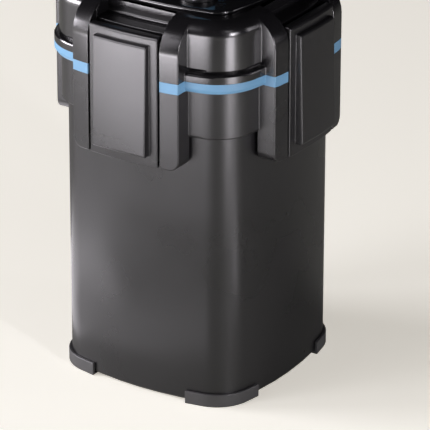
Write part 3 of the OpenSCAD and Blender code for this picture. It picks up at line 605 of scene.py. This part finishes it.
softened("corner_feet", "feet", small_width, finish["rubber"])
softened("top_cover", "cover", small_width, finish["cover"])
softened("inlet_connector", "inlet_tail", small_width, finish["fitting"], segments=2)
softened("outlet_connector", "outlet_tail", small_width, finish["fitting"], segments=2)
softened("inlet_lever", "inlet_tap", small_width, finish["blue_lever"])
softened("outlet_lever", "outlet_tap", small_width, finish["blue_lever"])
softened("cable_gland", "gland", small_width, finish["rubber"], segments=2)

# %% [markdown]
# ## Knurled nuts and wound coils
# Things that repeat are made with Geometry Nodes. A union nut is a turned collar with a ring
# of rounded grips, placed on the points of a mesh circle. A coil is one long spiral whose
# points are clamped to a box, which turns a round winding into one with straight sides and
# rounded corners, with a wire profile swept along it between two bobbin flanges. Modelling
# each grip or turn by hand would give the same shape with far more code, and nothing could
# be changed afterwards.

# %% Geometry Nodes helpers


def node_tree(name, sizes):
    """A tree with one named input for each size, and its Group Input node."""
    tree = bpy.data.node_groups.new(name, "GeometryNodeTree")
    tree.interface.new_socket("Geometry", in_out="INPUT", socket_type="NodeSocketGeometry")
    for label, value in sizes.items():
        kind = "NodeSocketInt" if isinstance(value, int) else "NodeSocketFloat"
        tree.interface.new_socket(label, in_out="INPUT", socket_type=kind)
    tree.interface.new_socket("Geometry", in_out="OUTPUT", socket_type="NodeSocketGeometry")
    return tree, add_node(tree, "NodeGroupInput", (-1100, 0))


def tree_end(tree, parts, material):
    """Join the parts, realize them, give them their material and send them out."""
    join = add_node(tree, "GeometryNodeJoinGeometry", (600, 0))
    for part in parts:
        tree.links.new(part, join.inputs[0])
    solid = add_node(tree, "GeometryNodeRealizeInstances", (800, 0))
    paint = add_node(tree, "GeometryNodeSetMaterial", (1000, 0))
    paint.inputs["Material"].default_value = material
    out = add_node(tree, "NodeGroupOutput", (1200, 0))
    tree.links.new(join.outputs[0], solid.inputs[0])
    tree.links.new(solid.outputs[0], paint.inputs["Geometry"])
    tree.links.new(paint.outputs[0], out.inputs[0])


def built(tree, name, sizes, sharp=40):
    """Run a node tree on an empty mesh and keep the result as a plain mesh object."""
    carrier = mesh_object(name + "_carrier", [], [])
    modifier = carrier.modifiers.new("build", "NODES")
    modifier.node_group = tree
    for item in tree.interface.items_tree:
        if item.name in sizes:
            modifier[item.identifier] = sizes[item.name]
    bpy.context.view_layer.update()
    view = bpy.context.evaluated_depsgraph_get()
    mesh = bpy.data.meshes.new_from_object(carrier.evaluated_get(view))
    bpy.data.objects.remove(carrier)
    mesh.name = name
    mesh.shade_smooth()
    mesh.set_sharp_from_angle(angle=math.radians(sharp))
    made = bpy.data.objects.new(name, mesh)
    scene.collection.objects.link(made)
    return made


def moved(tree, geometry, offset):
    shift = add_node(tree, "GeometryNodeTransform", (400, 0), Translation=offset)
    tree.links.new(geometry, shift.inputs["Geometry"])
    return shift.outputs[0]


# %% Union nuts
nut_low, nut_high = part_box("union_nuts")
NUT_R, GRIPS = (nut_high.y - nut_low.y) / 2, 18
NUT_BORE, NUT_LIP, NUT_WALL_IN = 8.1 * MM, 7.6 * MM, 0.8 * MM
nut_x, nut_y = nut_high.x - NUT_R, (nut_low.y + nut_high.y) / 2


def turned(tree, profile, steps=72):
    """A profile of (radius, height) points turned about the vertical axis."""
    ring = mesh_object("profile", [(r, 0, z) for r, z in profile], [])
    ring.data.edges.add(len(profile))
    for k, edge in enumerate(ring.data.edges):
        edge.vertices = (k, (k + 1) % len(profile))
    shape = bmesh.new()
    shape.from_mesh(ring.data)
    bmesh.ops.spin(shape, geom=shape.verts[:] + shape.edges[:], axis=(0, 0, 1), cent=(0, 0, 0),
                   steps=steps, angle=2 * math.pi, use_merge=True)
    bmesh.ops.recalc_face_normals(shape, faces=shape.faces)
    shape.to_mesh(ring.data)
    shape.free()
    ring.hide_render = True
    body = add_node(tree, "GeometryNodeObjectInfo", (-400, 0))
    body.inputs["Object"].default_value = ring
    return body.outputs["Geometry"], ring


nut_sizes = {"Grips": GRIPS, "Ring radius": NUT_R - 0.75 * MM, "Grip radius": 0.7 * MM,
             "Half length": 2.1 * MM}


def nut_tree():
    """Two nuts, each a turned collar with grips that are pills on the points of a circle."""
    tree, into = node_tree("union_nut", nut_sizes)
    low_z, high_z = nut_low.z, nut_high.z
    r, lip = NUT_R - NUT_WALL_IN, NUT_LIP
    profile = [(NUT_BORE, low_z), (r - 0.6 * MM, low_z), (r, low_z + 0.6 * MM),
               (r, high_z - 1.2 * MM), (r - 1.2 * MM, high_z), (lip + 0.4 * MM, high_z),
               (lip, high_z - 0.4 * MM), (lip, high_z - 1 * MM), (NUT_BORE, high_z - 1 * MM)]
    body, ring = turned(tree, profile)
    circle = add_node(tree, "GeometryNodeMeshCircle", (-400, -300))
    top = add_node(tree, "ShaderNodeCombineXYZ", (-600, -500))
    foot = add_node(tree, "ShaderNodeVectorMath", (-500, -600), operation="SCALE", Scale=-1.0)
    grip = add_node(tree, "GeometryNodeCurvePrimitiveLine", (-400, -500))
    round_end = add_node(tree, "GeometryNodeMeshIcoSphere", (-400, -700), Subdivisions=2)
    tree.links.new(into.outputs["Grips"], circle.inputs["Vertices"])
    tree.links.new(into.outputs["Ring radius"], circle.inputs["Radius"])
    tree.links.new(into.outputs["Grip radius"], round_end.inputs["Radius"])
    tree.links.new(into.outputs["Half length"], top.inputs["Z"])
    tree.links.new(top.outputs[0], foot.inputs[0])
    tree.links.new(top.outputs[0], grip.inputs["End"])
    tree.links.new(foot.outputs["Vector"], grip.inputs["Start"])
    hull_parts = add_node(tree, "GeometryNodeInstanceOnPoints", (-200, -600))
    hull = add_node(tree, "GeometryNodeConvexHull", (0, -600))
    place = add_node(tree, "GeometryNodeInstanceOnPoints", (200, -300))
    tree.links.new(grip.outputs[0], hull_parts.inputs["Points"])
    tree.links.new(round_end.outputs[0], hull_parts.inputs["Instance"])
    tree.links.new(hull_parts.outputs[0], hull.inputs[0])
    tree.links.new(circle.outputs[0], place.inputs["Points"])
    tree.links.new(hull.outputs[0], place.inputs["Instance"])
    grips = moved(tree, place.outputs[0], (0, 0, (low_z + high_z) / 2))
    both = add_node(tree, "GeometryNodeJoinGeometry", (300, 200))
    tree.links.new(body, both.inputs[0])
    tree.links.new(grips, both.inputs[0])
    pair = [moved(tree, both.outputs[0], (side * nut_x, nut_y, 0)) for side in (-1, 1)]
    tree_end(tree, pair, finish["fitting"])
    return tree, ring


tree, ring = nut_tree()
nuts = built(tree, "nuts", nut_sizes)
bpy.data.objects.remove(ring)
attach(nuts, "root")
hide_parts("union_nuts")
print("nuts:", len(nuts.data.polygons), "faces,", GRIPS, "grips each")

# %% Coil windings
coil_low, coil_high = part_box("stator_coils")
core_low, core_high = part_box("stator_core")
LEG_SHARE, LEG_GAP = 0.19, 0.1 * MM
FLANGE, WIRE = 1.2 * MM, 1.3 * MM
WINDING_IN, SLEEVE_IN, BEND_REACH = 1.1 * MM, 1.8 * MM, 14.8 * MM
leg = (core_high.x - core_low.x) * LEG_SHARE
coil_x = core_high.x - leg / 2
inner_x, inner_z = leg / 2 + LEG_GAP, (core_high.z - core_low.z) / 2 + LEG_GAP
outer_x, outer_z = coil_high.x - coil_x, (coil_high.z - coil_low.z) / 2
centre_z = (coil_low.z + coil_high.z) / 2


def tube_ring(x0, z0, x1, z1, y0, y1):
    """A rectangular sleeve between two rectangles, from y0 to y1."""
    points, faces = [], []
    for x, z in ((x0, z0), (x1, z1)):
        for y in (y0, y1):
            points += [(-x, y, -z), (x, y, -z), (x, y, z), (-x, y, z)]
    for k in range(4):
        n = (k + 1) % 4
        faces += [(k, n, n + 4, k + 4), (k + 8, k + 12, n + 12, n + 8), (k, k + 8, n + 8, n),
                  (k + 4, n + 4, n + 12, k + 12)]
    return points, faces


winding = coil_high.y - coil_low.y - 2 * FLANGE - WIRE
coil_sizes = {"Turns": float(int(winding / WIRE)), "Winding length": winding,
              "Round radius": BEND_REACH, "Wire radius": WIRE * 0.49}


def coil_tree():
    """Two spirals with their points clamped to a box, and a wire swept along each."""
    tree, into = node_tree("coil_winding", coil_sizes)
    spiral = add_node(tree, "GeometryNodeCurveSpiral", (-800, 0), Resolution=64)
    tree.links.new(into.outputs["Turns"], spiral.inputs["Rotations"])
    tree.links.new(into.outputs["Round radius"], spiral.inputs["Start Radius"])
    tree.links.new(into.outputs["Round radius"], spiral.inputs["End Radius"])
    tree.links.new(into.outputs["Winding length"], spiral.inputs["Height"])
    spot = add_node(tree, "GeometryNodeInputPosition", (-800, -300))
    box = add_node(tree, "ShaderNodeVectorMath", (-600, -300), operation="MINIMUM")
    box.inputs[1].default_value = (outer_x - WINDING_IN, outer_z - WINDING_IN, 1)
    clamp = add_node(tree, "ShaderNodeVectorMath", (-400, -300), operation="MAXIMUM")
    clamp.inputs[1].default_value = (WINDING_IN - outer_x, WINDING_IN - outer_z, -1)
    bend = add_node(tree, "GeometryNodeSetPosition", (-200, 0))
    wire = add_node(tree, "GeometryNodeCurvePrimitiveCircle", (-200, -300), Resolution=8)
    tree.links.new(into.outputs["Wire radius"], wire.inputs["Radius"])
    sweep = add_node(tree, "GeometryNodeCurveToMesh", (0, 0), Fill_Caps=True)
    turn = add_node(tree, "GeometryNodeTransform", (200, 0), Rotation=(math.pi / 2, 0, 0),
                    Translation=(0, coil_high.y - FLANGE - WIRE / 2, centre_z))
    tree.links.new(spot.outputs[0], box.inputs[0])
    tree.links.new(box.outputs[0], clamp.inputs[0])
    tree.links.new(spiral.outputs[0], bend.inputs["Geometry"])
    tree.links.new(clamp.outputs[0], bend.inputs["Position"])
    tree.links.new(bend.outputs[0], sweep.inputs["Curve"])
    tree.links.new(wire.outputs[0], sweep.inputs["Profile Curve"])
    tree.links.new(sweep.outputs[0], turn.inputs["Geometry"])
    pair = [moved(tree, turn.outputs[0], (side * coil_x, 0, 0)) for side in (-1, 1)]
    tree_end(tree, pair, finish["copper"])
    return tree


coils = built(coil_tree(), "coils", coil_sizes, sharp=60)
shape = bmesh.new()
shape.from_mesh(coils.data)
low_y, high_y = coil_low.y, coil_high.y
sleeves = [(inner_x, inner_z, outer_x - SLEEVE_IN, outer_z - SLEEVE_IN, low_y, high_y),
           (inner_x, inner_z, outer_x, outer_z, low_y, low_y + FLANGE),
           (inner_x, inner_z, outer_x, outer_z, high_y - FLANGE, high_y)]
for side in (-1, 1):
    for sleeve in sleeves:
        points, faces = tube_ring(*sleeve)
        made = [shape.verts.new((x + side * coil_x, y, z + centre_z)) for x, y, z in points]
        for face in faces:
            shape.faces.new([made[k] for k in face]).material_index = 1
bmesh.ops.recalc_face_normals(shape, faces=shape.faces)
shape.to_mesh(coils.data)
shape.free()
coils.data.materials.append(finish["inner"])
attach(coils, "root")
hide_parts("stator_coils")
print("coils:", coil_sizes["Turns"], "turns each,", len(coils.data.polygons), "faces")

# %% [markdown]
# ## Sponge and fleece
# Both are cut from sheet, so their faces stay level, but a cut edge of foam is never sharp
# and a pad sinks a little between its corners. The solid is remeshed into small even faces
# and smoothed, which rounds its edges. Then each point moves inwards by a slow noise, and no
# point comes nearer to the CAD surface than a third of a millimetre. A cloth simulation would
# blow the pads up like cushions, which cut foam doesn't do.

# %% Soft media
from mathutils import noise
from mathutils.bvhtree import BVHTree

VOXEL, LEAST_SINK, SKIN = 2.6 * MM, 0.4 * MM, 0.33 * MM
WAVES, LAYER_GROOVE, GROOVE_SHARPNESS = 38, 1.1 * MM, 6


def soft_sheet(node, name, material, depth, layers):
    """Replace a plain soft solid by a pad with slow hollows and grooves between its layers."""
    source = frame["nodes"][node]
    hull = bmesh.new()
    hull.from_mesh(source.data)
    walls = BVHTree.FromBMesh(hull)
    hull.free()
    blank = bpy.data.objects.new(name + "_blank", source.data.copy())
    scene.collection.objects.link(blank)
    remesh = blank.modifiers.new("even faces", "REMESH")
    remesh.mode, remesh.voxel_size = "VOXEL", VOXEL
    relax = blank.modifiers.new("soft edges", "SMOOTH")
    relax.factor, relax.iterations = 0.6, 6
    bpy.context.view_layer.update()
    view = bpy.context.evaluated_depsgraph_get()
    mesh = bpy.data.meshes.new_from_object(blank.evaluated_get(view))
    bpy.data.objects.remove(blank)
    low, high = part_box(node)
    places = []
    for vertex in mesh.vertices:
        spot, normal = vertex.co.copy(), vertex.normal.copy()
        sink = LEAST_SINK + depth * (0.5 + 0.5 * noise.noise(spot * WAVES))
        on_side = math.hypot(normal.x, normal.y) > 0.5
        part = (spot.z - low.z) / (high.z - low.z) * layers
        if on_side and 0 < round(part) < layers:
            sink += LAYER_GROOVE * max(0, 1 - abs(part - round(part)) * GROOVE_SHARPNESS)
        places.append(spot - normal * sink)
    for vertex, spot in zip(mesh.vertices, places):
        near, outward, _, distance = walls.find_nearest(spot)
        if (spot - near).dot(outward) > 0 or distance < SKIN:
            spot = near - outward * SKIN
        vertex.co = spot
    mesh.name = name
    mesh.materials.clear()
    mesh.materials.append(material)
    mesh.shade_smooth()
    piece = bpy.data.objects.new(name, mesh)
    scene.collection.objects.link(piece)
    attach(piece, "root")
    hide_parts(node)
    print(f"{name}: {len(mesh.polygons)} faces")


soft_sheet("coarse_sponge", "sponge", finish["foam"], depth=0.9 * MM, layers=2)
soft_sheet("fine_pad", "fleece", finish["floss"], depth=1.3 * MM, layers=3)

# %% [markdown]
# ## Inner parts
# The pump, the baskets and the ceramic rings are closed in and show only when the model is
# taken apart. New meshes for them would add nothing, as their CAD solids already have the
# right shape, so each solid stays and only gets the finish of what it is made from.

# %% Finishes for the solids that stay
inner_finish = {
    "main_seal": "rubber", "head_plate": "inner", "plate_screws": "steel",
    "cover_screws": "blackened", "latch_pins": "blackened", "basket_lower": "inner",
    "basket_middle": "inner", "basket_upper": "inner", "ceramic_rings": "clay",
    "intake_tube": "inner", "strainer": "inner", "stator_core": "stack",
    "pump_shaft": "steel", "shaft_bushes": "rubber", "rotor_magnet": "magnet",
    "impeller": "white", "pump_cover": "inner", "spigot_seals": "rubber",
}
for node, name in inner_finish.items():
    mesh = frame["nodes"][node].data
    mesh.materials.clear()
    mesh.materials.append(finish[name])
print("solids finished:", len(inner_finish))
